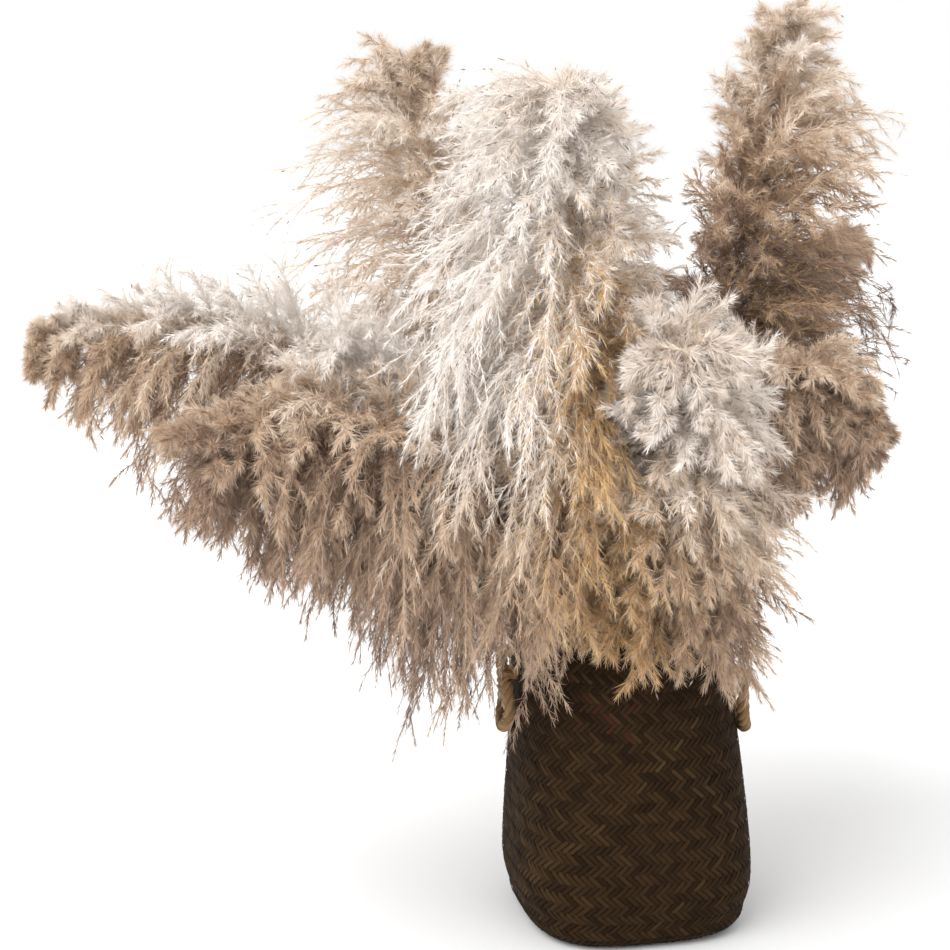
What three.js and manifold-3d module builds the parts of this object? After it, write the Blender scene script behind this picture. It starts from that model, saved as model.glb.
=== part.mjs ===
// A bundle of nine cut pampas grass culms standing in a woven belly basket.
// Millimetres, +Z up. The origin is the middle of the basket's flat foot, and -Y is the front.
// Each culm is a straight bare stem that leans on the basket's mouth, and a feathery plume above it.
import * as THREE from 'three';
import { mergeVertices } from 'three/addons/utils/BufferGeometryUtils.js';
import Module from 'manifold-3d';

const wasm = await Module();
wasm.setup();

// ---- driving dimensions: basket ----
const RIM_HEIGHT = 332;        // top of the woven wall
const RIM_HALF = 104;          // half-width of the round mouth
const WAIST_HEIGHT = 212;
const WAIST_HALF = 112;
const BELLY_HEIGHT = 68;       // the widest level
const BELLY_HALF = 121;
const FOOT_HALF = 114;         // half-width of the wall's outline, carried down to the floor
const FOOT_ROUNDING = 24;      // radius of the lower corner
const FOOT_SQUARENESS = 3.2;   // superellipse exponent at the floor; the mouth is round, 2
const FOOT_TURN = 12;          // degrees that the squarish foot is turned about Z
const RIM_SHIFT = -14;         // the soft basket leans a little to -X at its mouth
const WALL = 4;
const FLOOR = 5;
const RIM_ROPE_RADIUS = 6;

// ---- driving dimensions: handles ----
const HANDLE_ROPE_RADIUS = 6.5;
const HANDLE_TOP = 262;        // height at which the rope enters the wall
const HANDLE_DROP = 64;        // from there to the lowest point of the rope's centre line
const HANDLE_SPAN = 78;        // between the two ends

// ---- driving dimensions: culms ----
const STEM_FOOT_RADIUS = 4;
const STEM_TOP_RADIUS = 3;
const LOBES = 5;               // soft flutes round a plume
const LOBE_DEPTH = 0.1;        // share of the radius
const LOBE_TWIST = 1.6;        // radians along the plume
const HANG = 0.3;              // extra depth below a level axis, as a share of the radius
const TIP_ROUNDING = 0.65;     // share of a plume's length over which it closes to its tip

const GAP = 0.3;               // between pieces that touch
const STEM_CLEARANCE = 1;      // round a stem that passes through another plume
const UP = new THREE.Vector3(0, 0, 1);
const radians = THREE.MathUtils.degToRad;

// foot and mouth say where the stem stands on the floor and where it crosses the mouth:
// azimuth in degrees, and share of the free radius there. bare is the length of bare stem above
// the mouth. droop is the angle in degrees by which the plume turns down from base to tip, and
// ease shapes it: below 1 it bends early, above 1 late.
const CULMS = [
  {
    name: 'front', foot: [100, 0.4], mouth: [245, 0.65], bare: 50,
    length: 480, radius: 60, droop: -7, ease: 1,
  },
  {
    name: 'front_right', foot: [65, 0.95], mouth: [300, 0.95], bare: 25,
    length: 300, radius: 58, droop: 10, ease: 1,
  },
  {
    name: 'right', foot: [335, 0.25], mouth: [345, 1], bare: 115,
    length: 220, radius: 50, droop: 165, ease: 1.8,
  },
  {
    name: 'back_right', foot: [245, 0.45], mouth: [30, 0.85], bare: 150,
    length: 455, radius: 54, droop: -2, ease: 1,
  },
  {
    name: 'back_left', foot: [310, 1], mouth: [140, 0.75], bare: 110,
    length: 470, radius: 52, droop: -12, ease: 1,
  },
  {
    name: 'left', foot: [20, 0.85], mouth: [170, 0.9], bare: 100,
    length: 510, radius: 42, droop: 74, ease: 0.7,
  },
  {
    name: 'front_left', foot: [40, 0.75], mouth: [195, 0.95], bare: 70,
    length: 345, radius: 42, droop: 78, ease: 0.75,
  },
  {
    name: 'back', foot: [270, 0.9], mouth: [90, 0.95], bare: 120,
    length: 400, radius: 56, droop: -8, ease: 1,
  },
  {
    name: 'far_right', foot: [220, 0.55], mouth: [40, 1], bare: 60,
    length: 400, radius: 56, droop: 46, ease: 1,
  },
];

// ---- materials ----
const material = (color, roughness) => new THREE.MeshStandardMaterial({ color, roughness, metalness: 0 });
const SEAGRASS = material(0x3a2c1c, 0.9);
const ROPE = material(0x6b4a28, 0.85);
const CULM = material(0xb59a68, 0.7);
const CREAM = material(0xe6dacb, 0.95);
const ROSE_BEIGE = material(0xc8b19c, 0.95);
const BROWN_BEIGE = material(0xa78a72, 0.95);
const PLUME_MATERIALS = {
  front: CREAM, front_right: CREAM, right: ROSE_BEIGE, back_right: ROSE_BEIGE, back_left: ROSE_BEIGE,
  left: BROWN_BEIGE, front_left: BROWN_BEIGE, back: ROSE_BEIGE, far_right: ROSE_BEIGE,
};

// ---- mesh helpers ----
// A closed skin over rings of equally many points, with a fan of triangles over each end.
// Seen from the far end, each ring runs anticlockwise. firstPoint and lastPoint are the fans' middles.
function loft(rings, firstPoint, lastPoint) {
  const count = rings[0].length;
  const points = [...rings.flat(), firstPoint, lastPoint];
  const faces = [];
  for (let ring = 0; ring + 1 < rings.length; ring += 1) {
    for (let i = 0; i < count; i += 1) {
      const next = (i + 1) % count;
      const [a, b] = [ring * count + i, ring * count + next];
      const [c, d] = [a + count, b + count];
      faces.push(a, b, d, a, d, c);
    }
  }
  const lastRing = (rings.length - 1) * count;
  const [firstMiddle, lastMiddle] = [rings.length * count, rings.length * count + 1];
  for (let i = 0; i < count; i += 1) {
    const next = (i + 1) % count;
    faces.push(firstMiddle, next, i, lastMiddle, lastRing + i, lastRing + next);
  }
  const geometry = new THREE.BufferGeometry().setFromPoints(points);
  geometry.setIndex(faces);
  return geometry;
}

function toManifold(source) {
  const geometry = source.clone();
  geometry.deleteAttribute('normal');
  geometry.deleteAttribute('uv');
  const merged = mergeVertices(geometry, 1e-4);
  return new wasm.Manifold(new wasm.Mesh({
    numProp: 3,
    vertProperties: new Float32Array(merged.attributes.position.array),
    triVerts: new Uint32Array(merged.index.array),
  }));
}

function fromManifold(solid) {
  const { vertProperties, triVerts } = solid.getMesh();
  const geometry = new THREE.BufferGeometry();
  geometry.setAttribute('position', new THREE.BufferAttribute(vertProperties, 3));
  geometry.setIndex(new THREE.BufferAttribute(triVerts, 1));
  geometry.computeVertexNormals();
  return geometry;
}

// Cuts the tools from a body, and lets go of any sliver that they part from it.
function cutBack(geometry, tools) {
  const whole = tools.reduce((solid, tool) => solid.subtract(toManifold(tool)), toManifold(geometry));
  const [largest] = whole.decompose().sort((a, b) => b.volume() - a.volume());
  return fromManifold(largest);
}

// ---- basket ----
const wallCurve = new THREE.SplineCurve([
  new THREE.Vector2(FOOT_HALF, FOOT_ROUNDING),
  new THREE.Vector2(BELLY_HALF, BELLY_HEIGHT),
  new THREE.Vector2(WAIST_HALF, WAIST_HEIGHT),
  new THREE.Vector2(RIM_HALF, RIM_HEIGHT),
]);
const WALL_STEPS = 12;
const WALL_PROFILE = wallCurve.getPoints(WALL_STEPS);

function wallHalfAt(z) {
  const upper = WALL_PROFILE.findIndex((point) => point.y >= z);
  if (upper < 1) return z < FOOT_ROUNDING ? FOOT_HALF : RIM_HALF;
  const [a, b] = [WALL_PROFILE[upper - 1], WALL_PROFILE[upper]];
  return THREE.MathUtils.mapLinear(z, a.y, b.y, a.x, b.x);
}

const basketAxisX = (z) => RIM_SHIFT * (z / RIM_HEIGHT) ** 2;

// The point at an azimuth of the basket's outline, of half-width half, at height z.
function outlinePoint(azimuth, half, z) {
  const share = THREE.MathUtils.clamp(z / RIM_HEIGHT, 0, 1);
  const exponent = THREE.MathUtils.lerp(FOOT_SQUARENESS, 2, share);
  const local = azimuth - radians(FOOT_TURN);
  const [c, s] = [Math.abs(Math.cos(local)), Math.abs(Math.sin(local))];
  const reach = half / (c ** exponent + s ** exponent) ** (1 / exponent);
  return new THREE.Vector3(basketAxisX(z) + reach * Math.cos(azimuth), reach * Math.sin(azimuth), z);
}

const RING_POINTS = 44;
function basketRing(half, z) {
  return Array.from({ length: RING_POINTS }, (_, i) => (
    outlinePoint((2 * Math.PI * i) / RING_POINTS, half, z)
  ));
}

function basketBody() {
  const top = RIM_HEIGHT - 2 * RIM_ROPE_RADIUS - GAP;
  const cornerSteps = [0, 30, 60];
  const corner = (radius, lowest) => cornerSteps.map((angle) => basketRing(
    FOOT_HALF - FOOT_ROUNDING + radius * Math.sin(radians(angle)),
    lowest + radius * (1 - Math.cos(radians(angle))),
  ));
  const levels = WALL_PROFILE.map((point) => point.y).filter((z) => z < top - WALL);
  const wall = (inset) => [...levels, top].map((z) => basketRing(wallHalfAt(z) - inset, z));
  const outside = [...corner(FOOT_ROUNDING, 0), ...wall(0)];
  const innerRadius = FOOT_ROUNDING - FLOOR;
  const inside = [...corner(innerRadius, FLOOR), ...wall(WALL)].reverse();
  return loft([...outside, ...inside], new THREE.Vector3(), new THREE.Vector3(0, 0, FLOOR));
}

function basketRim() {
  const profile = Array.from({ length: 9 }, (_, i) => {
    const angle = (2 * Math.PI * i) / 8;
    const middle = RIM_HALF - WALL / 2;
    return new THREE.Vector2(
      middle + RIM_ROPE_RADIUS * Math.cos(angle),
      RIM_ROPE_RADIUS * Math.sin(angle),
    );
  });
  profile[8].copy(profile[0]);
  const geometry = new THREE.LatheGeometry(profile, RING_POINTS);
  geometry.rotateX(Math.PI / 2);
  return geometry;
}

// A rope loop that enters the wall at both ends and hangs flat against it.
function handle(azimuth) {
  const outward = new THREE.Vector3(Math.cos(azimuth), Math.sin(azimuth), 0);
  const along = new THREE.Vector3(-outward.y, outward.x, 0);
  // how far the wall stands out behind the rope's own width and height at a place
  const faceReach = (side, z) => {
    const nearby = [];
    for (const level of [z - HANDLE_ROPE_RADIUS, z, z + HANDLE_ROPE_RADIUS]) {
      for (let offset = -40; offset <= 40; offset += 1) {
        const point = outlinePoint(azimuth + radians(offset), wallHalfAt(level), level);
        point.x -= basketAxisX(z);
        if (Math.abs(point.dot(along) - side) < HANDLE_ROPE_RADIUS) nearby.push(point.dot(outward));
      }
    }
    return Math.max(...nearby);
  };
  const pathPoint = (side, z, stand) => new THREE.Vector3(basketAxisX(z), 0, z)
    .addScaledVector(outward, faceReach(side, z) + stand).addScaledVector(along, side);
  const half = HANDLE_SPAN / 2;
  const bottom = HANDLE_TOP - HANDLE_DROP;
  const low = HANDLE_TOP - 0.62 * HANDLE_DROP;
  const against = HANDLE_ROPE_RADIUS + 2 * GAP;
  const hanging = (side, z) => pathPoint(side, z, against);
  const end = (side) => pathPoint(side, HANDLE_TOP, GAP);
  const knee = (side) => pathPoint(side, HANDLE_TOP, 1.6 * against);
  const path = new THREE.CatmullRomCurve3([
    end(-half), knee(-half), hanging(-0.94 * half, low), hanging(-0.5 * half, bottom + 5),
    hanging(0, bottom),
    hanging(0.5 * half, bottom + 5), hanging(0.94 * half, low), knee(half), end(half),
  ]);
  const section = new THREE.Shape().absellipse(
    0, 0, HANDLE_ROPE_RADIUS, HANDLE_ROPE_RADIUS, 0, 2 * Math.PI,
  );
  return new THREE.ExtrudeGeometry(section, { steps: 28, curveSegments: 4, extrudePath: path });
}

// ---- culms ----
const FLOOR_FREE = FOOT_HALF - FOOT_ROUNDING - STEM_FOOT_RADIUS - 2;
const MOUTH_FREE = RIM_HALF - WALL / 2 - RIM_ROPE_RADIUS - STEM_FOOT_RADIUS - 4;

function polar([azimuth, share], radius, centreX, z) {
  const angle = radians(azimuth);
  return new THREE.Vector3(
    centreX + share * radius * Math.cos(angle), share * radius * Math.sin(angle), z,
  );
}

function stemLine(culm) {
  const mouth = polar(culm.mouth, MOUTH_FREE, RIM_SHIFT, RIM_HEIGHT);
  const foot = polar(culm.foot, FLOOR_FREE, 0, FLOOR);
  const direction = mouth.clone().sub(foot).normalize();
  const lean = Math.acos(direction.z);
  foot.z += GAP + STEM_FOOT_RADIUS * Math.sin(lean);
  const top = mouth.clone().addScaledVector(direction, culm.bare);
  return { foot, top, direction, lean };
}

// With a clearance, the solid is a tool that cuts room for the stem, past its ends too.
const STEM_SIDES = 10;
function stem(culm, clearance = 0) {
  const { foot, top, direction } = stemLine(culm);
  const length = foot.distanceTo(top) + 2 * clearance;
  const geometry = new THREE.CylinderGeometry(
    STEM_TOP_RADIUS + clearance, STEM_FOOT_RADIUS + clearance, length, STEM_SIDES,
  );
  geometry.applyQuaternion(
    new THREE.Quaternion().setFromUnitVectors(new THREE.Vector3(0, 1, 0), direction),
  );
  const middle = foot.clone().lerp(top, 0.5);
  geometry.translate(middle.x, middle.y, middle.z);
  return geometry;
}

// The plume's axis: it goes on from the stem and bends in the upright plane of the stem's lean.
const AXIS_STEPS = 48;
function plumeAxis(culm) {
  const { top, direction, lean } = stemLine(culm);
  const outward = new THREE.Vector3(direction.x, direction.y, 0).normalize();
  const step = culm.length / AXIS_STEPS;
  const point = top.clone().addScaledVector(direction, GAP);
  const axis = [point.clone()];
  for (let i = 0; i < AXIS_STEPS; i += 1) {
    const angle = lean + radians(culm.droop) * ((i + 0.5) / AXIS_STEPS) ** culm.ease;
    point.addScaledVector(outward, step * Math.sin(angle)).addScaledVector(UP, step * Math.cos(angle));
    axis.push(point.clone());
  }
  const side = new THREE.Vector3().crossVectors(UP, outward);
  return { axis, side };
}

// A plume opens quickly from its stem, is full for a third of its length and rounds off to its tip.
function plumeRadius(culm, t) {
  const opening = Math.min(1, 0.16 + 2.2 * t);
  const closing = Math.max(0, (t - (1 - TIP_ROUNDING)) / TIP_ROUNDING);
  return culm.radius * opening * Math.sqrt(1 - closing ** 2);
}

// With a clearance, the solid is a tool that cuts room for the plume.
const PLUME_SIDES = 20;
const PLUME_STATIONS = [0, 0.04, 0.1, 0.18, 0.28, 0.4, 0.52, 0.64, 0.75, 0.85, 0.93, 0.98];
function plume(culm, clearance = 0) {
  const { axis, side } = plumeAxis(culm);
  const rings = PLUME_STATIONS.map((t) => {
    const at = Math.round(t * AXIS_STEPS);
    const [before, after] = [axis[Math.max(at - 1, 0)], axis[Math.min(at + 1, AXIS_STEPS)]];
    const tangent = after.clone().sub(before).normalize();
    const centre = axis[at].clone().addScaledVector(tangent, at === 0 ? -clearance : 0);
    const over = new THREE.Vector3().crossVectors(tangent, side);
    const level = Math.hypot(tangent.x, tangent.y);
    return Array.from({ length: PLUME_SIDES }, (_, i) => {
      const angle = (2 * Math.PI * i) / PLUME_SIDES;
      const flute = 1 + LOBE_DEPTH * Math.cos(LOBES * angle + LOBE_TWIST * t);
      const hang = 1 + HANG * level * Math.max(0, -Math.sin(angle));
      const reach = plumeRadius(culm, t) * flute * hang + clearance;
      return centre.clone()
        .addScaledVector(side, reach * Math.cos(angle))
        .addScaledVector(over, reach * Math.sin(angle));
    });
  });
  const base = axis[0].clone().addScaledVector(stemLine(culm).direction, -clearance);
  return loft(rings, base, axis[AXIS_STEPS]);
}

// ---- assembly ----
const bundle = new THREE.Group();
function add(name, geometry, look) {
  const mesh = new THREE.Mesh(geometry, look);
  mesh.name = name;
  bundle.add(mesh);
  return mesh;
}

add('basket_body', basketBody(), SEAGRASS);
add('basket_rim', basketRim(), SEAGRASS)
  .position.set(RIM_SHIFT, 0, RIM_HEIGHT - RIM_ROPE_RADIUS);
add('handle_left', handle(Math.PI), ROPE);
add('handle_right', handle(0), ROPE);

CULMS.forEach((culm, index) => {
  add(`stem_${culm.name}`, stem(culm), CULM);
  const otherStems = CULMS.filter((other) => other !== culm)
    .map((other) => stem(other, STEM_CLEARANCE));
  const earlierPlumes = CULMS.slice(0, index).map((other) => plume(other, GAP));
  const body = cutBack(plume(culm), [...otherStems, ...earlierPlumes]);
  add(`plume_${culm.name}`, body, PLUME_MATERIALS[culm.name]);
});

export default bundle;
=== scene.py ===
import math

import bpy
import numpy as np
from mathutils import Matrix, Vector


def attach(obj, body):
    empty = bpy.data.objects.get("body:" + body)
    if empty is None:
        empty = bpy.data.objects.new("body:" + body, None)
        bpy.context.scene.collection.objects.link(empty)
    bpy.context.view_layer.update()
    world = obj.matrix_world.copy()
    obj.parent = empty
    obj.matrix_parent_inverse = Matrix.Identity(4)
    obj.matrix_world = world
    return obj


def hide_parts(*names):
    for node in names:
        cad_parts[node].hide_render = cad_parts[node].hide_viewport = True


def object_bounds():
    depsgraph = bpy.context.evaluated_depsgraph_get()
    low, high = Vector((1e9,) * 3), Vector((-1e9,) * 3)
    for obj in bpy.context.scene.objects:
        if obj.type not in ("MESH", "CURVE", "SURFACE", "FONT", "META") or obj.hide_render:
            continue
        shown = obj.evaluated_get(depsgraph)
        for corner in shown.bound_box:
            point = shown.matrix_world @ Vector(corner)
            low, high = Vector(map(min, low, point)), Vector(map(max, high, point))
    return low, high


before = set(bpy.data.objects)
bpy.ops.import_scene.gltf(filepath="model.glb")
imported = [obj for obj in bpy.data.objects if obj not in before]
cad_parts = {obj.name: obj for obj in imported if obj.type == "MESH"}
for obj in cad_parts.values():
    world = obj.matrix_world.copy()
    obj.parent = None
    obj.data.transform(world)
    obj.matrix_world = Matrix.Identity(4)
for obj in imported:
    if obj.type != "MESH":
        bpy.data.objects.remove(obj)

CAD_BOX = np.array([list(corner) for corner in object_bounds()])
MM = 0.001
UP = np.array([0.0, 0.0, 1.0])
BAKE_MAP = "OFBake"  # its u is a strand's tone, dark to pale, and its v runs from root to tip

# ---- the basket's sizes in millimetres, as in the CAD part ----
RIM_HEIGHT, RIM_HALF = 332, 104
WAIST_HEIGHT, WAIST_HALF = 212, 112
BELLY_HEIGHT, BELLY_HALF = 68, 121
FOOT_HALF, FOOT_ROUNDING, FOOT_SQUARENESS, FOOT_TURN = 114, 24, 3.2, 12
RIM_SHIFT = -14
WALL, FLOOR, GAP = 4, 5, 0.3
RIM_ROPE_RADIUS = 6
HANDLE_ROPE_RADIUS, HANDLE_TOP, HANDLE_DROP, HANDLE_SPAN = 6.5, 262, 64, 78
ROPE_STRANDS, RIM_LAY, HANDLE_LAY = 3, 34, 30   # a rope's strands turn once round it in a lay
FIBRES, FIBRE_RADIUS = 9, 0.45                  # loose fibres along each strand
STEM_FOOT_RADIUS, STEM_TOP_RADIUS = 4, 3
FLOOR_FREE = FOOT_HALF - FOOT_ROUNDING - STEM_FOOT_RADIUS - 2
MOUTH_FREE = RIM_HALF - WALL / 2 - RIM_ROPE_RADIUS - STEM_FOOT_RADIUS - 4

# ---- the weave ----
STRIPS = 108           # in each of the two diagonal directions
TWILL = 3              # a strip goes over this many and under as many
WEAVE_DEPTH = 0.85     # millimetres a strip swings in and out
WEAVE_INSET = 0.6      # millimetres from the wall's face to the middle of the weave
SHELL_INSET = WEAVE_INSET + 0.9   # millimetres from the wall's face to the shell behind the weave
STRIP_CROWN, STRIP_EDGE = 0.15, 0.25   # millimetres its middle stands out and its edges lie in
DYED_SHARE, DYED_TONE = 0.07, 0.95     # the reddish strips, and their place on the colour ramp
DYED_LOW, DYED_HIGH = 215, 300         # millimetres: they show only between these heights

# ---- the culms, as in the CAD part ----
# foot and mouth: where the culm stands on the floor and passes the mouth, as (azimuth in degrees,
# share of the free radius). bare: millimetres of stem beyond the mouth. length: the rachis, in
# millimetres. droop: degrees the rachis turns down by its tip, or up if below zero. ease: how late.
CULMS = {
    "front": dict(foot=(100, 0.4), mouth=(245, 0.65), bare=50, length=480, droop=-7, ease=1),
    "front_right": dict(foot=(65, 0.95), mouth=(300, 0.95), bare=25, length=300, droop=10, ease=1),
    "right": dict(foot=(335, 0.25), mouth=(345, 1), bare=115, length=220, droop=165, ease=1.8),
    "back_right": dict(foot=(245, 0.45), mouth=(30, 0.85), bare=150, length=455, droop=-2, ease=1),
    "back_left": dict(foot=(310, 1), mouth=(140, 0.75), bare=110, length=470, droop=-12, ease=1),
    "left": dict(foot=(20, 0.85), mouth=(170, 0.9), bare=100, length=510, droop=74, ease=0.7),
    "front_left": dict(foot=(40, 0.75), mouth=(195, 0.95), bare=70, length=345, droop=78, ease=0.75),
    "back": dict(foot=(270, 0.9), mouth=(90, 0.95), bare=120, length=400, droop=-8, ease=1),
    "far_right": dict(foot=(220, 0.55), mouth=(40, 1), bare=60, length=400, droop=46, ease=1),
}

# ---- how each plume grows ----
# branches: how many leave the rachis. reach: their lengths in millimetres at the plume's base,
# a third up, two thirds up and at its tip. spread: degrees from the rachis at base, middle and
# tip. weight: how fast a branch bends down, per metre, at base and tip. lean: a direction all
# branches share. favour: branches pointing this way are longer. crest: how long the branches on
# the upper side are, against the lower. tone: 0 brown to 1 cream. shade: painted shade and light,
# how much darker strands get below the rachis and lighter above it, per metre. fade: painted
# shade, the plume darkens from one height to another, in millimetres, by an amount. glow: painted
# glow of light through the hair in the shade between plumes: where across the plume, in
# millimetres to the right of the rachis, a warm band runs up it, and how many of the strands there
# are amber. spikelets: how many dark seed husks show.
PLUMES = {
    "front": dict(
        branches=320, reach=(92, 188, 142, 74), spread=(88, 64, 82), weight=(15, 9),
        lean=(-0.14, -0.05, 0), favour=(-0.46, 0, 0), crest=1, tone=0.92, shade=(0.7, 0.7),
        painted_low_shade=(550, 380, 0.66), glow=(22, 0.95), spikelets=4200),
    "front_right": dict(
        branches=260, reach=(114, 106, 80, 55), spread=(90, 62, 58), weight=(15, 11),
        lean=(0.16, -0.05, 0), favour=(0.16, 0, 0), crest=1, tone=0.83, shade=(0.7, 0.7),
        painted_low_shade=(520, 340, 0.58), glow=(-48, 0.95), spikelets=2000),
    "right": dict(
        branches=170, reach=(125, 112, 88, 56), spread=(62, 60, 42), weight=(12, 26),
        lean=(-0.05, 0, 0), favour=(-0.3, 0, 0), crest=0.8, tone=0.42, shade=(1.2, 4),
        painted_low_shade=(600, 480, 0.12), glow=(0, 0), spikelets=400),
    "back_right": dict(
        branches=210, reach=(130, 135, 115, 30), spread=(50, 44, 62), weight=(8, 8),
        lean=(0.24, 0, 0), favour=(0.32, 0, 0), crest=1, tone=0.68, shade=(1.2, 1.2),
        painted_low_shade=(880, 640, 0.66), glow=(45, 0.3), spikelets=300),
    "back_left": dict(
        branches=210, reach=(135, 145, 130, 44), spread=(54, 48, 56), weight=(9, 8),
        lean=(-0.3, 0, 0), favour=(-0.4, 0, 0), crest=1, tone=0.62, shade=(1.2, 1.2),
        painted_low_shade=(860, 600, 0.08), glow=(10, 0.25), spikelets=300),
    "left": dict(
        branches=260, reach=(150, 190, 148, 30), spread=(62, 58, 58), weight=(13, 11),
        lean=(0, 0, 0.12), favour=(0, 0, 0), crest=0.6, tone=0.48, shade=(2.8, 16),
        painted_low_shade=(0, -1, 0), glow=(0, 0), spikelets=250),
    "front_left": dict(
        branches=250, reach=(205, 190, 145, 80), spread=(74, 64, 52), weight=(16, 17),
        lean=(0, 0, 0.05), favour=(0, 0, 0), crest=0.65, tone=0.3, shade=(1.7, 4.5),
        painted_low_shade=(0, -1, 0), glow=(0, 0), spikelets=250),
    "back": dict(
        branches=180, reach=(150, 150, 75, 40), spread=(85, 58, 42), weight=(17, 10),
        lean=(0.1, 0.05, 0), favour=(0.3, 0, 0), crest=1, tone=0.76, shade=(1.2, 1.2),
        painted_low_shade=(620, 440, 0.3), glow=(0, 0), spikelets=250),
    "far_right": dict(
        branches=180, reach=(140, 108, 74, 34), spread=(75, 50, 38), weight=(15, 11),
        lean=(-0.05, 0, 0), favour=(-0.25, 0, 0), crest=0.7, tone=0.56, shade=(1.7, 2.5),
        painted_low_shade=(640, 460, 0.2), glow=(0, 0), spikelets=250),
}
FEATHERS = 14          # side feathers on a branch
BRANCH_HAIRS = 220     # on each branch
FEATHER_HAIRS = 54     # on each feather
HAIR_LENGTH = 14 * MM
HAIR_WIDTH = 0.7 * MM
BRANCH_FLUFF = 0.8 * MM
FEATHER_FLUFF = 0.45 * MM
PALEST, PAINTED_GLOW_START = 0.84, 0.91   # colour ramp: plain tones end, the painted glow's amber starts
GOLDEN_ANGLE = math.radians(137.508)
AXIS_STEPS = 48
BRANCH_STEPS, FEATHER_STEPS = 12, 5
STRAND_CLEAR = 9       # millimetres that branches and feathers keep from the basket
OVER_MOUTH = 0.62      # nearer its middle than this share of the way, they rest on the mouth
HAIR_LEAN, HAIR_CLOSING = 46, 24   # degrees from its strand at the root, and how much less at the tip
DEPTH_SHADE = 0.24     # painted shade: tone gained from the rachis out to this far
DEPTH_REACH = 100 * MM
SHADE_BELOW, SHADE_ABOVE = 0.16, 0.06   # metres from the rachis where painted shade and light stop changing
PAINTED_GLOW_WIDTH = 54 * MM
PAINTED_GLOW_CLEAR, PAINTED_GLOW_RISE = 0.08, 0.2       # metres under the plume's top where the painted glow's amber starts and grows

# strands stay this far inside the CAD parts' box widened on each side by 3 per cent of its size and
# 10 mm; strands stay this far inside the largest box the visual may fill
ROOM = 0.03 * (CAD_BOX[1] - CAD_BOX[0]) + 10 * MM
STRAND_LOW = CAD_BOX[0] - ROOM + 1.6 * HAIR_LENGTH
STRAND_HIGH = CAD_BOX[1] + ROOM - 1.6 * HAIR_LENGTH


# ---- small helpers ----
def unit(v):
    return v / np.maximum(np.linalg.norm(v, axis=-1, keepdims=True), 1e-12)


def make_mesh(name, points, quads, tris, uv, material, smooth=True):
    """A mesh object from point, quad and triangle arrays, with one (tone, along) pair per point."""
    mesh = bpy.data.meshes.new(name)
    corners = np.concatenate([np.ravel(quads), np.ravel(tris)]).astype(np.int32)
    starts = np.concatenate([np.arange(len(quads)) * 4, len(quads) * 4 + np.arange(len(tris)) * 3])
    mesh.vertices.add(len(points))
    mesh.vertices.foreach_set("co", np.asarray(points, np.float32).ravel())
    mesh.loops.add(len(corners))
    mesh.loops.foreach_set("vertex_index", corners)
    mesh.polygons.add(len(starts))
    mesh.polygons.foreach_set("loop_start", starts.astype(np.int32))
    mesh.polygons.foreach_set("use_smooth", np.full(len(starts), smooth))
    layer = mesh.uv_layers.new(name=BAKE_MAP)
    layer.uv.foreach_set("vector", np.asarray(uv, np.float32)[corners].ravel())
    mesh.update(calc_edges=True)
    mesh.materials.append(material)
    obj = bpy.data.objects.new(name, mesh)
    bpy.context.scene.collection.objects.link(obj)
    return obj


class Bundle:
    """Collects the pieces of one mesh."""

    def __init__(self):
        self.points, self.quads, self.tris, self.uv, self.count = [], [], [], [], 0

    def add(self, points, quads, tris, uv):
        self.points.append(points.reshape(-1, 3))
        self.quads.append(np.asarray(quads, np.int64).reshape(-1, 4) + self.count)
        self.tris.append(np.asarray(tris, np.int64).reshape(-1, 3) + self.count)
        self.uv.append(uv.reshape(-1, 2))
        self.count += len(self.points[-1])

    def build(self, name, material, smooth=True):
        return make_mesh(
            name, np.concatenate(self.points), np.concatenate(self.quads),
            np.concatenate(self.tris), np.concatenate(self.uv), material, smooth,
        )


def tubes(bundle, paths, radii, tone, sides=3, ragged=0.0, rng=None):
    """Tubes along paths (N, K, 3) with radii (N, K) and tone (N,), closed at both ends."""
    n, k, _ = paths.shape
    along = unit(np.gradient(paths, axis=1))
    skew = np.array([0.31, 0.57, 0.76])  # no path is meant to run along it
    side = unit(np.cross(along, skew))
    other = np.cross(along, side)
    angle = np.arange(sides) * 2 * math.pi / sides
    radii = np.broadcast_to(radii[..., None], (n, k, sides))
    if ragged:
        radii = radii * (1 + rng.uniform(-ragged, ragged, (n, k, sides)))
    ring = side[:, :, None] * np.cos(angle)[:, None] + other[:, :, None] * np.sin(angle)[:, None]
    points = paths[:, :, None] + ring * radii[..., None]
    points = points.reshape(n, k * sides, 3)
    points = np.concatenate([points, paths[:, :1], paths[:, -1:]], axis=1)
    size = k * sides + 2
    first = np.arange(n)[:, None, None] * size
    step = np.arange(k - 1)[None, :, None] * sides
    here = np.arange(sides)
    there = (here + 1) % sides
    a = first + step
    quads = np.stack([a + here, a + there, a + sides + there, a + sides + here], -1)
    last = first + (k - 1) * sides
    start_cap = np.stack(np.broadcast_arrays(first + k * sides, first + there, first + here), -1)
    end_cap = np.stack(np.broadcast_arrays(first + k * sides + 1, last + here, last + there), -1)
    u = np.broadcast_to(tone[:, None, None] + 0.003 * here, (n, k, sides)).reshape(n, k * sides)
    v = np.broadcast_to(np.linspace(0.02, 0.98, k)[:, None], (n, k, sides)).reshape(n, k * sides)
    u = np.concatenate([u, tone[:, None], tone[:, None]], 1)
    v = np.concatenate([v, np.full((n, 1), 0.01), np.full((n, 1), 0.99)], 1)
    bundle.add(points, quads, np.concatenate([start_cap.reshape(-1, 3), end_cap.reshape(-1, 3)]),
               np.stack([u, v], -1))


def resample(points, count):
    """count points evenly spaced along a path."""
    points = np.asarray(points, float)
    gone = np.concatenate([[0], np.cumsum(np.linalg.norm(np.diff(points, axis=0), axis=1))])
    at = np.linspace(0, gone[-1], count)
    return np.stack([np.interp(at, gone, points[:, i]) for i in range(3)], 1)


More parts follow.
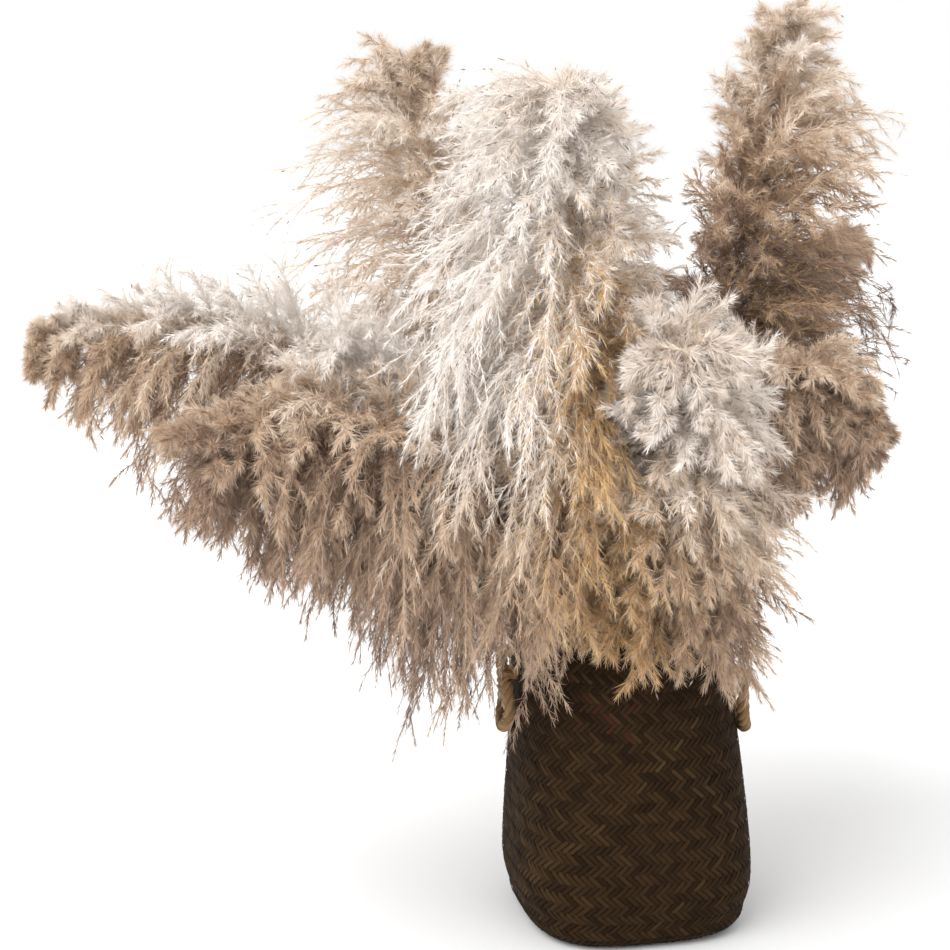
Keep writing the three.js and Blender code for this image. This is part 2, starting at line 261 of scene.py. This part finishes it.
def spline(points, steps):
    """A Catmull-Rom curve through points."""
    points = np.asarray(points, float)
    padded = np.vstack([points[0], points, points[-1]])
    out = []
    for i in range(len(points) - 1):
        a, b, c, d = padded[i:i + 4]
        t = np.linspace(0, 1, steps, endpoint=False)[:, None]
        out.append(0.5 * (2 * b + (c - a) * t + (2 * a - 5 * b + 4 * c - d) * t ** 2
                          + (3 * b - 3 * c + d - a) * t ** 3))
    return np.vstack([*out, points[-1:]])


# ---- materials ----
def new_material(name):
    material = bpy.data.materials.new(name)
    material.use_nodes = True
    tree = material.node_tree
    return material, tree, tree.nodes["Principled BSDF"]


def toned_material(name, stops, tip, tip_share, roughness, sheen=0.0, specular=0.25):
    """A colour ramp read from the bake map's u, blended a little into tip along v."""
    material, tree, shader = new_material(name)
    uv = tree.nodes.new("ShaderNodeUVMap")
    uv.uv_map = BAKE_MAP
    split = tree.nodes.new("ShaderNodeSeparateXYZ")
    tree.links.new(uv.outputs["UV"], split.inputs[0])
    ramp = tree.nodes.new("ShaderNodeValToRGB")
    tree.links.new(split.outputs["X"], ramp.inputs["Fac"])
    elements = ramp.color_ramp.elements
    while len(elements) < len(stops):
        elements.new(0.5)
    for element, (place, colour) in zip(elements, stops):
        element.position = place
        element.color = (*colour, 1)
    strength = tree.nodes.new("ShaderNodeMath")
    strength.operation = "MULTIPLY"
    strength.inputs[1].default_value = tip_share
    tree.links.new(split.outputs["Y"], strength.inputs[0])
    mix = tree.nodes.new("ShaderNodeMix")
    mix.data_type = "RGBA"
    tree.links.new(strength.outputs[0], mix.inputs[0])
    tree.links.new(ramp.outputs["Color"], mix.inputs[6])
    mix.inputs[7].default_value = (*tip, 1)
    tree.links.new(mix.outputs[2], shader.inputs["Base Color"])
    shader.inputs["Roughness"].default_value = roughness
    shader.inputs["Specular IOR Level"].default_value = specular
    shader.inputs["Sheen Weight"].default_value = sheen
    return material


# the stops at 0.9 and 1.0 are amber for the painted glow of light through the hair between plumes
HAIR = toned_material(
    "plume_hair",
    [(0.0, (0.14, 0.072, 0.040)), (0.18, (0.34, 0.20, 0.120)), (0.35, (0.60, 0.42, 0.27)),
     (0.52, (0.79, 0.65, 0.51)), (0.69, (0.90, 0.81, 0.725)), (0.84, (0.96, 0.91, 0.865)),
     (0.9, (0.50, 0.27, 0.08)), (1.0, (0.82, 0.56, 0.25))],
    (0.93, 0.87, 0.82), 0.3, 0.8, 0.05,
)
SEED = toned_material(
    "spikelet", [(0.0, (0.15, 0.11, 0.09)), (1.0, (0.40, 0.33, 0.27))], (0.5, 0.42, 0.36), 0.3, 0.6,
)
STRAW = toned_material(
    "culm", [(0.0, (0.20, 0.12, 0.055)), (0.5, (0.50, 0.37, 0.19)), (1.0, (0.70, 0.58, 0.36))],
    (0.62, 0.52, 0.34), 0.3, 0.5,
)
SEAGRASS = toned_material(
    "seagrass",
    [(0.0, (0.006, 0.003, 0.0012)), (0.3, (0.019, 0.0095, 0.0035)), (0.55, (0.037, 0.020, 0.0080)),
     (0.8, (0.066, 0.041, 0.017)), (0.88, (0.064, 0.040, 0.017)), (0.93, (0.042, 0.014, 0.008)),
     (1.0, (0.052, 0.018, 0.011))],
    (0.05, 0.035, 0.02), 0.0, 0.75, specular=0.08,
)
ROPE = toned_material(
    "rope", [(0.0, (0.10, 0.055, 0.022)), (0.5, (0.24, 0.14, 0.062)), (1.0, (0.42, 0.27, 0.13))],
    (0.3, 0.2, 0.1), 0.0, 0.7,
)


# ---- the basket ----
def basket_centre_x(z):
    return RIM_SHIFT * (np.asarray(z) / RIM_HEIGHT) ** 2


def outline(azimuth, half, z):
    """Points of the basket's outline in millimetres: squarish at the foot, round at the rim."""
    share = np.clip(np.asarray(z) / RIM_HEIGHT, 0, 1)
    exponent = FOOT_SQUARENESS + (2 - FOOT_SQUARENESS) * share
    local = azimuth - math.radians(FOOT_TURN)
    reach = half / (np.abs(np.cos(local)) ** exponent + np.abs(np.sin(local)) ** exponent) ** (
        1 / exponent)
    x = basket_centre_x(z) + reach * np.cos(azimuth)
    return np.stack(np.broadcast_arrays(x, reach * np.sin(azimuth), z), -1)


CORNER = [(FOOT_HALF - FOOT_ROUNDING * (1 - math.sin(a)), FOOT_ROUNDING * (1 - math.cos(a)))
          for a in np.linspace(0, math.pi / 2, 9)[:-1]]
SIDE = spline([(FOOT_HALF, FOOT_ROUNDING), (BELLY_HALF, BELLY_HEIGHT), (WAIST_HALF, WAIST_HEIGHT),
               (RIM_HALF, RIM_HEIGHT)], 12)
PROFILE = np.array(CORNER + [tuple(p) for p in SIDE if p[1] < RIM_HEIGHT - RIM_ROPE_RADIUS])
PROFILE_RUN = np.concatenate([[0], np.cumsum(np.linalg.norm(np.diff(PROFILE, axis=0), axis=1))])
# how far round a strip at 45 degrees gets as it climbs
PROFILE_TURN = np.concatenate([[0], np.cumsum(np.diff(PROFILE_RUN)
                                              / (0.5 * (PROFILE[1:, 0] + PROFILE[:-1, 0])))])


def wall_point(azimuth, run):
    half, z = np.interp(run, PROFILE_RUN, PROFILE[:, 0]), np.interp(run, PROFILE_RUN, PROFILE[:, 1])
    return outline(azimuth, half, z)


def wall_frame(azimuth, run):
    """A point of the wall and the directions round it, up it and out of it."""
    point = wall_point(azimuth, run)
    round_it = unit(wall_point(azimuth + 0.02, run) - wall_point(azimuth - 0.02, run))
    up_it = unit(wall_point(azimuth, np.minimum(run + 2, PROFILE_RUN[-1]))
                 - wall_point(azimuth, np.maximum(run - 2, 0)))
    return point, round_it, up_it, unit(np.cross(round_it, up_it))


def wall_half_at(z):
    return np.interp(z, PROFILE[:, 1], PROFILE[:, 0])


def make_shell(rng):
    """The inner shell that shows in the weave's gaps and inside the basket, dark as painted shade."""
    ring_count = 96
    azimuth = np.linspace(0, 2 * math.pi, ring_count, endpoint=False)
    runs = np.linspace(0, PROFILE_RUN[-1], 40)
    outer, inner = [], []
    for run in runs:
        point, _, _, out = wall_frame(azimuth, np.full(ring_count, run))
        outer.append(point - out * SHELL_INSET)
        lifted = point - out * WALL
        lifted[:, 2] = np.maximum(lifted[:, 2], FLOOR)
        inner.append(lifted)
    rings = np.array(outer + inner[::-1])
    k = len(rings)
    i, j = np.meshgrid(np.arange(k - 1), np.arange(ring_count), indexing="ij")
    nxt = (j + 1) % ring_count
    quads = np.stack([i * ring_count + j, i * ring_count + nxt, (i + 1) * ring_count + nxt,
                      (i + 1) * ring_count + j], -1).reshape(-1, 4)
    points = rings.reshape(-1, 3)
    points = np.vstack([points, [[0, 0, SHELL_INSET], [0, 0, FLOOR]]]) * MM
    low, high = len(points) - 2, len(points) - 1
    ring = np.arange(ring_count)
    caps = np.vstack([
        np.stack([np.full(ring_count, low), (ring + 1) % ring_count, ring], -1),
        np.stack([np.full(ring_count, high), (k - 1) * ring_count + ring,
                  (k - 1) * ring_count + (ring + 1) % ring_count], -1),
    ])
    # painted shade: the shell's tone is darker than the strips'
    uv = np.stack([0.2 + rng.uniform(-0.05, 0.05, len(points)), np.full(len(points), 0.5)], -1)
    shell = Bundle()
    shell.add(points, quads, caps, uv)
    shell = shell.build("basket_shell", SEAGRASS)
    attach(shell, "root")
    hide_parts("basket_body")


def make_weave(rng):
    """The two families of strips, each crossing the other over and under."""
    weave = Bundle()
    crossings = PROFILE_TURN[-1] * STRIPS / math.pi
    count = int(crossings * 2) + 1
    level = np.linspace(0, crossings, count)
    turn = level * math.pi / STRIPS
    run = np.interp(turn, PROFILE_TURN, PROFILE_RUN)
    half = np.interp(run, PROFILE_RUN, PROFILE[:, 0])
    width = 0.95 * 2 * math.pi * half / STRIPS * math.sin(math.pi / 4)
    swing = np.tanh(2.6 * np.sin(2 * math.pi * (level + 0.5) / (2 * TWILL))) * WEAVE_DEPTH
    for family in (1, -1):
        start = 2 * math.pi * np.arange(STRIPS) / STRIPS
        azimuth = start[:, None] + family * turn
        runs = np.broadcast_to(run, azimuth.shape)
        point, round_it, up_it, out = wall_frame(azimuth, runs)
        across = unit(up_it - family * round_it)
        centre = point + out * (family * swing - WEAVE_INSET)[:, None]
        centre += out * rng.normal(0, 0.12, (STRIPS, 1, 1))
        reach = across * (width * 0.5)[:, None] * rng.uniform(0.86, 1.0, (STRIPS, 1, 1))
        row = np.stack([centre - reach - out * STRIP_EDGE, centre + out * STRIP_CROWN,
                        centre + reach - out * STRIP_EDGE], 2)
        row[..., 2] = np.maximum(row[..., 2], 0.05)
        first = np.arange(STRIPS)[:, None, None] * count * 3
        first = first + np.arange(count - 1)[None, :, None] * 3
        lane = np.arange(2)
        quads = np.stack([first + lane, first + lane + 1, first + lane + 4, first + lane + 3], -1)
        if family > 0:
            quads = quads[..., ::-1]
        base = np.clip(rng.normal(0.42, 0.07, (STRIPS, 1, 1)), 0.12, 0.78)
        drift = np.cumsum(rng.normal(0, 0.015, (STRIPS, count, 1)), axis=1)
        # painted highlight and shade: each strip is paler along its crown and darker at its edges
        tone = base + np.clip(drift, -0.1, 0.1) + np.array([-0.07, 0.04, -0.05])
        tone = np.clip(tone, 0.05, 0.84)
        z = row[..., 1, 2][..., None]
        dyed = rng.uniform(0, 1, (STRIPS, 1, 1)) < DYED_SHARE
        tone = np.where(dyed & (z > DYED_LOW) & (z < DYED_HIGH), DYED_TONE, tone)
        v = np.broadcast_to(np.array([0.1, 0.5, 0.9]), tone.shape)
        weave.add(row * MM, quads, np.empty((0, 3)), np.stack([tone, v], -1))
    strips = weave.build("basket_weave", SEAGRASS)
    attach(strips, "root")


def rope(points, radius, lay, closed, rng):
    """Twisted strands round a path in millimetres. lay is the length of one full twist."""
    along = unit(np.gradient(points, axis=0))
    if closed:
        along = unit(np.roll(points, -1, axis=0) - np.roll(points, 1, axis=0))
    gone = np.concatenate([[0], np.cumsum(np.linalg.norm(np.diff(points, axis=0), axis=1))])
    total = gone[-1] + (np.linalg.norm(points[0] - points[-1]) if closed else 0)
    twists = max(1, round(total / lay))
    side = unit(np.cross(along, UP + 1e-3))
    other = np.cross(along, side)
    strand_paths = []
    for strand in range(ROPE_STRANDS):
        angle = 2 * math.pi * (gone / total * twists + strand / ROPE_STRANDS)
        offset = side * np.cos(angle)[:, None] + other * np.sin(angle)[:, None]
        strand_paths.append(points + offset * radius * 0.5)
    strand_paths = np.array(strand_paths)
    if closed:
        strand_paths = np.concatenate([strand_paths, strand_paths[:, :2]], axis=1)
    bundle = Bundle()
    radii = np.full(strand_paths.shape[:2], radius * 0.52 * MM)
    tubes(bundle, strand_paths * MM, radii, rng.uniform(0.35, 0.65, ROPE_STRANDS), sides=10)
    # loose fibres that follow the strands
    for strand_path in strand_paths:
        for _ in range(FIBRES):
            turn = rng.uniform(0, 2 * math.pi)
            offset = side * math.cos(turn) + other * math.sin(turn)
            if closed:
                offset = np.vstack([offset, offset[:2]])
            fibre = strand_path + offset * radius * 0.5
            tubes(bundle, fibre[None] * MM, np.full((1, len(fibre)), FIBRE_RADIUS * MM),
                  rng.uniform(0.1, 0.95, 1), sides=4)
    return bundle


def make_rim():
    azimuth = np.linspace(0, 2 * math.pi, 260, endpoint=False)
    ring = RIM_HALF - WALL / 2
    z = RIM_HEIGHT - RIM_ROPE_RADIUS
    path = np.stack([RIM_SHIFT + ring * np.cos(azimuth), ring * np.sin(azimuth),
                     np.full(len(azimuth), z)], -1)
    obj = rope(path, RIM_ROPE_RADIUS, RIM_LAY, True, np.random.default_rng(8)).build(
        "rim_rope", SEAGRASS)
    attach(obj, "root")
    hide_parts("basket_rim")


def make_handle(name, azimuth):
    outward = np.array([math.cos(azimuth), math.sin(azimuth), 0.0])
    along = np.array([-outward[1], outward[0], 0.0])

    def path_point(side, z, stand):
        """A point over the wall, side along it, where the rope clears the wall."""
        levels = np.array([z - HANDLE_ROPE_RADIUS, z, z + HANDLE_ROPE_RADIUS])[:, None]
        around = azimuth + np.radians(np.arange(-40, 41))
        points = outline(around, wall_half_at(levels), levels)
        points = points.reshape(-1, 3) - np.array([float(basket_centre_x(z)), 0, 0])
        near = np.abs(points @ along - side) < HANDLE_ROPE_RADIUS
        reach = (points @ outward)[near].max()
        return (np.array([float(basket_centre_x(z)), 0, z]) + outward * (reach + stand)
                + along * side)

    half = HANDLE_SPAN / 2
    bottom = HANDLE_TOP - HANDLE_DROP
    low = HANDLE_TOP - 0.62 * HANDLE_DROP
    against = HANDLE_ROPE_RADIUS + 2 * GAP
    knots = [
        path_point(-half, HANDLE_TOP, GAP), path_point(-half, HANDLE_TOP, 1.6 * against),
        path_point(-0.94 * half, low, against), path_point(-0.5 * half, bottom + 5, against),
        path_point(0, bottom, against), path_point(0.5 * half, bottom + 5, against),
        path_point(0.94 * half, low, against), path_point(half, HANDLE_TOP, 1.6 * against),
        path_point(half, HANDLE_TOP, GAP),
    ]
    path = resample(spline(knots, 12), 90)
    obj = rope(path, HANDLE_ROPE_RADIUS, HANDLE_LAY, False, np.random.default_rng(9)).build(
        name + "_rope", ROPE)
    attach(obj, "root")
    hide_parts(name)


# ---- the culms ----
def polar(place, radius, centre_x, z):
    angle = math.radians(place[0])
    reach = place[1] * radius
    return np.array([centre_x + reach * math.cos(angle), reach * math.sin(angle), z])


def stem_line(culm):
    """The stem's foot and top in metres, and its direction."""
    mouth = polar(culm["mouth"], MOUTH_FREE, RIM_SHIFT, RIM_HEIGHT)
    foot = polar(culm["foot"], FLOOR_FREE, 0, FLOOR)
    direction = unit(mouth - foot)
    foot[2] += GAP + STEM_FOOT_RADIUS * math.sin(math.acos(direction[2]))
    return foot * MM, (mouth + direction * culm["bare"]) * MM, direction


def plume_axis(culm):
    """The rachis: points and directions from the plume's base to its tip, and its side direction."""
    _, top, direction = stem_line(culm)
    lean = math.acos(direction[2])
    outward = unit(np.array([direction[0], direction[1], 0.0]))
    share = (np.arange(AXIS_STEPS) + 0.5) / AXIS_STEPS
    angle = lean + math.radians(culm["droop"]) * share ** culm["ease"]
    along = np.sin(angle)[:, None] * outward + np.cos(angle)[:, None] * UP
    steps = along * culm["length"] * MM / AXIS_STEPS
    points = top + np.vstack([np.zeros(3), np.cumsum(steps, axis=0)])
    return points, np.vstack([along, along[-1]]), np.cross(UP, outward)


def make_stem(name, seed):
    """A round culm with swollen nodes and dry leaf sheaths round its lower joints."""
    rng = np.random.default_rng(seed)
    foot, top, direction = stem_line(CULMS[name])
    length = np.linalg.norm(top - foot)
    share = np.linspace(0, 1, 60)
    path = foot + (top - foot) * share[:, None]
    radius = STEM_FOOT_RADIUS + (STEM_TOP_RADIUS - STEM_FOOT_RADIUS) * share
    nodes = np.array([0.22, 0.5, 0.8]) + rng.uniform(-0.04, 0.04, 3)
    for node in nodes:
        radius = radius + 0.45 * np.exp(-((share - node) * length / (3.5 * MM)) ** 2)
    bundle = Bundle()
    tubes(bundle, path[None], (radius * 0.96 * MM)[None], np.array([0.55]), sides=14)
    for node in nodes[:2]:
        inside = (share > node) & (share < node + 0.2)
        if inside.sum() > 3:
            wrap = path[inside]
            tubes(bundle, wrap[None], np.linspace(radius[inside][0] + 0.3, radius[inside][-1],
                                                  len(wrap))[None] * MM,
                  np.array([0.85]), sides=12)
    obj = bundle.build("stem_" + name + "_culm", STRAW)
    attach(obj, "root")
    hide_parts("stem_" + name)


# ---- the plumes ----
def sample(paths, share):
    """Points and directions at share (0 to 1) along each path. paths is (N, K, 3), share (N, M)."""
    segments = paths.shape[1] - 1
    place = np.clip(share * segments, 0, segments - 1e-6)
    low = place.astype(int)
    rows = np.arange(len(paths))[:, None]
    a, b = paths[rows, low], paths[rows, low + 1]
    return a + (b - a) * (place - low)[..., None], unit(b - a)


def clear_basket(points):
    """Points moved off the basket: over its mouth they rest on it, beside its wall they hang."""
    z = np.clip(points[:, 2] / MM, 0, RIM_HEIGHT)
    centre = basket_centre_x(z) * MM
    across = points[:, :2] - np.stack([centre, np.zeros(len(points))], 1)
    radius = np.linalg.norm(across, axis=1)
    free = (wall_half_at(z) + STRAND_CLEAR) * MM
    mouth = (RIM_HEIGHT + STRAND_CLEAR) * MM
    low = points[:, 2] < mouth
    beside = low & (radius > OVER_MOUTH * free) & (radius < free)
    over = low & (radius <= OVER_MOUTH * free)
    moved = points.copy()
    moved[beside, :2] += across[beside] * (free[beside] / radius[beside] - 1)[:, None]
    moved[over, 2] = mouth
    return moved


def grow(roots, directions, lengths, steps, weight, wander, rng):
    """Strands that start at roots and bend down under their own weight. Returns (N, steps + 1, 3)."""
    points = np.empty((len(roots), steps + 1, 3))
    points[:, 0] = roots
    heading = unit(directions)
    step = lengths[:, None] / steps
    for k in range(steps):
        target = points[:, k] + heading * step
        target = np.clip(clear_basket(target), STRAND_LOW, STRAND_HIGH)
        points[:, k + 1] = points[:, k] + unit(target - points[:, k]) * step
        heading = unit(target - points[:, k])
        drift = rng.normal(0, wander, heading.shape)
        heading = unit(heading - UP * weight[:, None] * step + drift)
    return points


def turned(directions, angle, rng):
    """Directions turned by angle (radians) about random axes."""
    across = unit(np.cross(directions, unit(rng.normal(0, 1, directions.shape))))
    return directions * np.cos(angle)[..., None] + across * np.sin(angle)[..., None]


def needles(bundle, roots, headings, lengths, widths, outward, tone):
    """Hairs: one thin triangle each, flat side out."""
    n = len(roots)
    across = unit(np.cross(headings, outward)) * widths[:, None] * 0.5
    points = np.stack([roots - across, roots + across, roots + headings * lengths[:, None]], 1)
    tris = np.arange(n)[:, None] * 3 + np.arange(3)
    u = np.stack([tone - 0.004, tone + 0.004, tone], 1)
    v = np.tile([0.02, 0.06, 0.98], (n, 1))
    bundle.add(points, np.empty((0, 4)), tris, np.stack([u, v], -1))


def spindles(bundle, points, headings, length, radius, tone, rng):
    """Small closed spindles: the seed husks."""
    side = unit(np.cross(headings, rng.normal(0, 1, headings.shape)))
    other = np.cross(headings, side)
    n = len(points)
    middle = points + headings * length[:, None] * 0.4
    ring = [middle + a * radius[:, None] for a in (side, other, -side, -other)]
    stack = np.stack([points, *ring, points + headings * length[:, None]], 1)
    first = np.arange(n)[:, None, None] * 6
    faces = np.array([[0, 2, 1], [0, 3, 2], [0, 4, 3], [0, 1, 4],
                      [5, 1, 2], [5, 2, 3], [5, 3, 4], [5, 4, 1]])
    u = tone[:, None] + np.array([0, -0.02, -0.01, 0.01, 0.02, 0])
    v = np.broadcast_to([0.05, 0.4, 0.45, 0.5, 0.55, 0.95], (n, 6))
    bundle.add(stack, np.empty((0, 4)), first + faces, np.stack([u, v], -1))


def grow_branches(culm, spec, rng):
    """The branches that leave the rachis: their paths, roots, lengths and weights."""
    axis, along, side = plume_axis(culm)
    n = spec["branches"]
    share = np.clip((np.arange(n) + rng.uniform(0, 1, n)) / n, 0, 0.975) ** 1.3
    azimuth = np.arange(n) * GOLDEN_ANGLE + rng.normal(0, 0.25, n)
    place = share * AXIS_STEPS
    low = place.astype(int)
    roots = axis[low] + (axis[low + 1] - axis[low]) * (place - low)[:, None]
    tangent = along[low]
    over = np.cross(tangent, side)
    outward = side * np.cos(azimuth)[:, None] + over * np.sin(azimuth)[:, None]
    spread = np.radians(np.interp(share, (0, 0.5, 1), spec["spread"])) * rng.normal(1, 0.14, n)
    heading = tangent * np.cos(spread)[:, None] + outward * np.sin(spread)[:, None] + spec["lean"]
    length = np.interp(share, (0, 0.33, 0.67, 1), spec["reach"]) * MM
    length *= 1 + outward @ np.array(spec["favour"], float)
    length *= 1 + (spec["crest"] - 1) * np.clip(outward[:, 2] + 0.15, 0, 1)
    length *= rng.uniform(0.72, 1.12, n)
    weight = np.interp(share, (0, 1), spec["weight"]) * rng.uniform(0.7, 1.3, n)
    paths = grow(roots, heading, length, BRANCH_STEPS, weight, 0.03, rng)
    return paths, roots, length, weight


def tone_at(points, roots, strand_tone, spec):
    """Painted shade and light: strands darker near the rachis, below it and low down, lighter above.
    """
    away = points - roots
    # painted shade: strands are darker near the rachis, deep in the plume
    depth = np.clip(np.linalg.norm(away, axis=-1) / DEPTH_REACH, 0, 1.2)
    below, above = spec["shade"]
    # painted shade that grows lower down the plume, from one height to another
    start, end, amount = spec["painted_low_shade"]
    painted_shade_share = np.clip((start * MM - points[..., 2]) / ((start - end) * MM), 0, 1)
    height = away[..., 2]
    # painted shade below the rachis and painted light above it
    rise = below * np.clip(height, -SHADE_BELOW, 0) + above * np.clip(height, 0, SHADE_ABOVE)
    return strand_tone + DEPTH_SHADE * (depth - 0.5) + rise - amount * painted_shade_share


def painted(tone, points, roots, spec, rng):
    """Bake map values for tones. Some strands in the plume's band of painted glow turn amber."""
    centre, amount = spec["glow"]
    band = amount * np.exp(-((points[:, 0] - roots[:, 0] - centre * MM) / PAINTED_GLOW_WIDTH) ** 2)
    band *= np.clip((spec["top"] - PAINTED_GLOW_CLEAR - points[:, 2]) / PAINTED_GLOW_RISE, 0, 1)
    # strands in the painted glow, light through the hair in the shade between plumes, turn amber
    amber = rng.uniform(0, 1, len(tone)) < band
    plain = PALEST * np.clip(tone, 0.02, 0.98)
    return np.where(amber, PAINTED_GLOW_START + (0.99 - PAINTED_GLOW_START) * rng.uniform(0, 1, len(tone)), plain)


def hairs_on(bundle, paths, roots, spec, strand_tone, count, rng):
    """Fine hairs all along the paths."""
    share = rng.uniform(0.03, 1.0, (len(paths), count))
    points, tangent = sample(paths, share)
    points, tangent = points.reshape(-1, 3), tangent.reshape(-1, 3)
    lean = HAIR_LEAN - HAIR_CLOSING * share.ravel() + rng.normal(0, 12, len(points))
    lean = np.abs(np.radians(lean))
    heading = turned(tangent, lean, rng)
    rooted = np.repeat(roots, count, axis=0)
    outward = unit(points - rooted + rng.normal(0, 0.04, points.shape))
    length = HAIR_LENGTH * rng.uniform(0.5, 1.3, len(points)) * (1.2 - 0.6 * share.ravel())
    width = HAIR_WIDTH * rng.uniform(0.7, 1.3, len(points))
    tone = tone_at(points, rooted, np.repeat(strand_tone, count), spec)
    tone += rng.normal(0, 0.025, len(points))
    needles(bundle, points, unit(heading - UP * 0.12), length, width, outward,
            painted(tone, points, rooted, spec, rng))


def fluff_on(bundle, paths, roots, spec, strand_tone, radius, sides, rng):
    """The soft mass round each strand."""
    share = np.linspace(0, 1, paths.shape[1])
    swell = (0.18 + 0.82 * np.sin(math.pi * share ** 0.8) ** 0.7) * (1 - share ** 6)
    radii = radius[:, None] * np.maximum(swell, 0.04)
    middle = paths[:, paths.shape[1] // 2]
    # painted shade: the soft mass under the hairs is 0.12 darker than they are
    tone = tone_at(middle, roots, strand_tone, spec) - 0.12
    tubes(bundle, paths, radii, painted(tone, middle, roots, spec, rng), sides, 0.35, rng)


def make_plume(name, seed):
    culm = CULMS[name]
    spec = dict(PLUMES[name], top=plume_axis(culm)[0][:, 2].max())
    rng = np.random.default_rng(seed)
    branches, roots, length, weight = grow_branches(culm, spec, rng)
    n = len(branches)
    tone = spec["tone"] + rng.normal(0, 0.05, n)
    share = np.clip((np.arange(FEATHERS) + rng.uniform(0, 1, (n, FEATHERS))) / FEATHERS, 0.06, 0.97)
    starts, tangents = sample(branches, share)
    starts, tangents = starts.reshape(-1, 3), tangents.reshape(-1, 3)
    heading = turned(tangents, np.radians(rng.normal(34, 10, len(starts))), rng)
    feather_length = np.repeat(length, FEATHERS) * (0.4 - 0.2 * share.ravel())
    feather_length *= rng.uniform(0.7, 1.3, len(starts))
    feather_weight = np.repeat(weight, FEATHERS) * 1.4
    feathers = grow(starts, heading, feather_length, FEATHER_STEPS, feather_weight, 0.05, rng)
    feather_tone = np.repeat(tone, FEATHERS) + rng.normal(0, 0.04, len(starts))
    feather_roots = np.repeat(roots, FEATHERS, axis=0)

    fluff = Bundle()
    axis, _, _ = plume_axis(culm)
    thick = np.linspace(STEM_TOP_RADIUS, 0.6, len(axis)) * MM
    tubes(fluff, axis[None], thick[None], np.array([0.35]), sides=6)
    fluff_on(fluff, branches, roots, spec, tone, BRANCH_FLUFF * rng.uniform(0.7, 1.2, n), 4, rng)
    fluff_on(fluff, feathers, feather_roots, spec, feather_tone,
             FEATHER_FLUFF * rng.uniform(0.6, 1.2, len(feathers)), 3, rng)
    fluff = fluff.build("plume_" + name + "_fluff", HAIR)
    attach(fluff, "root")
    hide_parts("plume_" + name)

    hair = Bundle()
    hairs_on(hair, branches, roots, spec, tone, BRANCH_HAIRS, rng)
    hairs_on(hair, feathers, feather_roots, spec, feather_tone, FEATHER_HAIRS, rng)
    hair = hair.build("plume_" + name + "_hair", HAIR, smooth=False)
    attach(hair, "root")

    husks = Bundle()
    count = spec["spikelets"]
    chosen = rng.integers(0, len(feathers), count)
    where, heading = sample(feathers[chosen], rng.uniform(0.2, 1, (count, 1)))
    where, heading = where[:, 0], heading[:, 0]
    out = unit(where - feather_roots[chosen])
    spindles(husks, where + out * rng.uniform(2, 6, (count, 1)) * MM, heading,
             rng.uniform(5, 10, count) * MM, rng.uniform(0.55, 0.9, count) * MM,
             rng.uniform(0.1, 0.9, count), rng)
    husks = husks.build("plume_" + name + "_spikelets", SEED, smooth=False)
    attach(husks, "root")


basket_rng = np.random.default_rng(7)
make_shell(basket_rng)
make_weave(basket_rng)
make_rim()
make_handle("handle_left", math.pi)
make_handle("handle_right", 0.0)
for number, name in enumerate(CULMS):
    make_stem(name, 50 + number)
    make_plume(name, 100 + number)


# ---- camera, light, floor ----
camera = bpy.data.objects.new("camera", bpy.data.cameras.new("camera"))
bpy.context.scene.collection.objects.link(camera)
camera.location = (-0.155, -1.9, 0.812)
camera.rotation_euler = (math.radians(90 - 10.6), 0, 0)
camera.data.lens = 73.4
camera.data.sensor_width = 36
bpy.context.scene.camera = camera

world = bpy.data.worlds.new("world")
bpy.context.scene.world = world
world.use_nodes = True
world.node_tree.nodes["Background"].inputs["Color"].default_value = (1, 1, 1, 1)
world.node_tree.nodes["Background"].inputs["Strength"].default_value = 1.0

sun = bpy.data.lights.new("sun", "SUN")
sun.energy = 2.2
sun.angle = math.radians(50)
sun_object = bpy.data.objects.new("sun", sun)
sun_object.rotation_euler = Vector((0.55, 0.5, -0.9)).to_track_quat("-Z", "Y").to_euler()
bpy.context.scene.collection.objects.link(sun_object)

floor_mesh = bpy.data.meshes.new("floor")
floor_mesh.from_pydata([(-30, -30, 0), (30, -30, 0), (30, 30, 0), (-30, 30, 0)], [], [(0, 1, 2, 3)])
floor = bpy.data.objects.new("floor", floor_mesh)
floor_material, _, floor_shader = new_material("floor")
floor_shader.inputs["Base Color"].default_value = (0.88, 0.88, 0.88, 1)
floor_shader.inputs["Roughness"].default_value = 0.9
floor_mesh.materials.append(floor_material)
bpy.context.scene.collection.objects.link(floor)
bpy.context.scene.view_settings.view_transform = "Standard"
